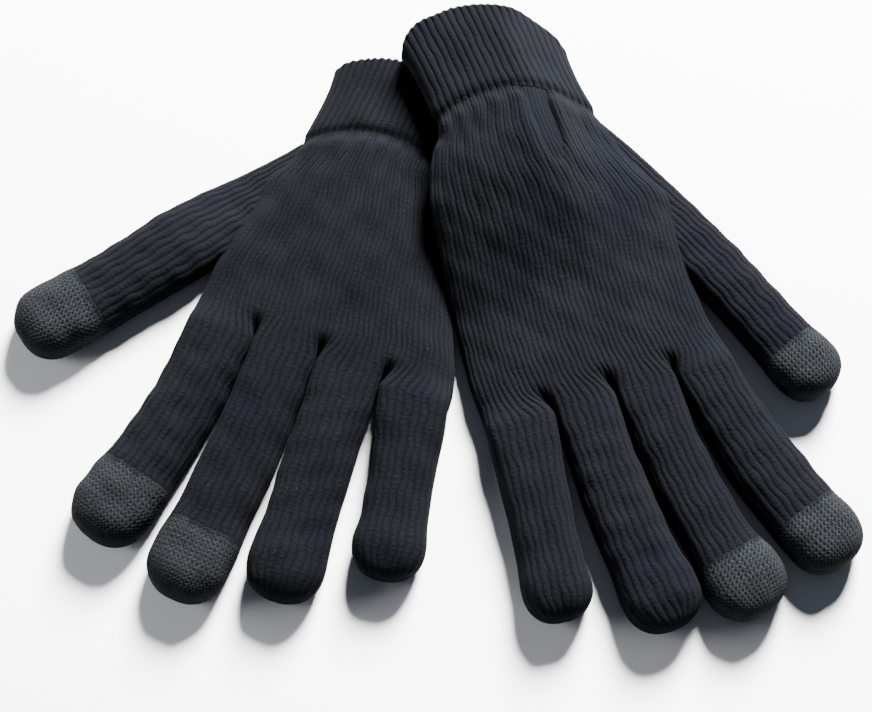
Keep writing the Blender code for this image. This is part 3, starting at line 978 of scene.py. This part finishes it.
def yarn(name, dark, light, legs, roughness=0.9, knots=False):
    """Knitted yarn on the stitch coordinates, with painted shade in its furrows and painted light on
    its crests.

    legs is how much the V stitches show in the columns.
    """
    material = bpy.data.materials.new(name)
    nodes = Nodes(material)
    knit = nodes.add("ShaderNodeUVMap", uv_map="knit").outputs[0]
    split = nodes.add("ShaderNodeSeparateXYZ", {0: knit})
    wale, course = split.outputs[0], split.outputs[1]
    place = nodes.add("ShaderNodeTexCoord").outputs["Object"]
    height, fluff = stitch_height(nodes, wale, course, legs, place)
    bump = nodes.add("ShaderNodeBump", {"Height": height, "Strength": 0.75, "Distance": 0.0005})
    patches = nodes.noise(place, PATCH_SCALE, 3.0)
    patches = nodes.ramp(patches, 0.3, 0.7, -PATCH_SHARE, PATCH_SHARE)
    lit = nodes.math("ADD", nodes.ramp(height, *LIT_HEIGHTS), patches)
    if knots:
        lit = knotted(nodes, wale, course, lit, fluff, place)
    # Painted shade in the furrows and painted light on the crests, from the stitch height; the patches
    # add random tone.
    colour = nodes.mix(nodes.ramp(lit, 0.0, 1.0), (*dark, 1), (*light, 1))
    nodes.link(with_lint(nodes, colour, place), "Base Color")
    nodes.link(bump.outputs[0], "Normal")
    nodes.shader.inputs["Roughness"].default_value = roughness
    nodes.shader.inputs["Specular IOR Level"].default_value = 0.012
    nodes.shader.inputs["Sheen Weight"].default_value = 0.003
    nodes.shader.inputs["Sheen Roughness"].default_value = 0.6
    return material


def make_yarns():
    # Colours from painted shade in the furrows to painted light on the crests; the tips' bright one is
    # also the knots' own paler yarn.
    shaded_furrow, crest = (0.0008, 0.001, 0.0021), (0.0033, 0.0037, 0.0043)
    dark_knot, bright_knot = (0.0014, 0.0018, 0.0026), (0.0135, 0.0148, 0.0158)
    shaded_thread, lit_thread = (0.002, 0.002, 0.003), (0.006, 0.007, 0.008)
    return {
        "knit_black": yarn("knit_black", shaded_furrow, crest, 0.16),
        "rib_black": yarn("rib_black", shaded_furrow, crest, 0.12),
        "conductive_knit": yarn("conductive_knit", dark_knot, bright_knot, 0.5, 0.8, knots=True),
        "elastic_thread": yarn("elastic_thread", shaded_thread, lit_thread, 0.0, 0.8),
    }


# ---------------------------------------------------------------- stage, light and camera


def make_stage():
    bpy.ops.mesh.primitive_plane_add(size=6, location=(0, 0, 0))
    floor = bpy.context.object
    floor.name = "floor"
    material = bpy.data.materials.new("floor_white")
    material.use_nodes = True
    shader = material.node_tree.nodes["Principled BSDF"]
    shader.inputs["Base Color"].default_value = (0.9, 0.9, 0.92, 1)
    shader.inputs["Roughness"].default_value = 0.9
    shader.inputs["Specular IOR Level"].default_value = 0.1
    floor.data.materials.append(material)


def make_light(name, place, size, power, target=(0, 0, 0)):
    light = bpy.data.lights.new(name, "AREA")
    light.shape = "DISK"
    light.size = size
    light.energy = power
    lamp = bpy.data.objects.new(name, light)
    lamp.location = place
    aim = Vector(target) - Vector(place)
    lamp.rotation_euler = aim.to_track_quat("-Z", "Y").to_euler()
    bpy.context.scene.collection.objects.link(lamp)


def make_world():
    world = bpy.data.worlds.new("studio")
    bpy.context.scene.world = world
    world.use_nodes = True
    sky = world.node_tree.nodes["Background"]
    sky.inputs["Color"].default_value = (0.72, 0.82, 1.0, 1)
    sky.inputs["Strength"].default_value = 0.09


def make_camera():
    target, distance = Vector((0.0014, -0.0165, 0.006)), 0.6795
    tilt = math.radians(72)
    camera = bpy.data.cameras.new("camera")
    camera.lens = 85
    camera.sensor_width = 36
    camera.clip_start = 0.01
    holder = bpy.data.objects.new("camera", camera)
    holder.location = target + distance * Vector((0, -math.cos(tilt), math.sin(tilt)))
    holder.rotation_euler = (target - holder.location).to_track_quat("-Z", "Y").to_euler()
    bpy.context.scene.collection.objects.link(holder)
    bpy.context.scene.camera = holder


# ---------------------------------------------------------------- the pair

make_camera()
make_world()
make_stage()
make_light("key", (0.38, 1.1, 0.68), 0.5, 400)
make_light("fill", (-1.3, 0.0, 0.34), 0.7, 20)
yarns = make_yarns()
for glove_side in ("left", "right"):
    pair_glove = Glove(glove_side)
    build_hand(pair_glove, yarns["knit_black"])
    build_cuff(pair_glove, yarns["rib_black"])
    for digit_name in ("thumb", *FINGERS):
        build_digit(pair_glove, digit_name, yarns)
    elastic = frame["nodes"][f"{glove_side}_cuff_elastic"]
    for slot in elastic.material_slots:
        slot.material = yarns["elastic_thread"]
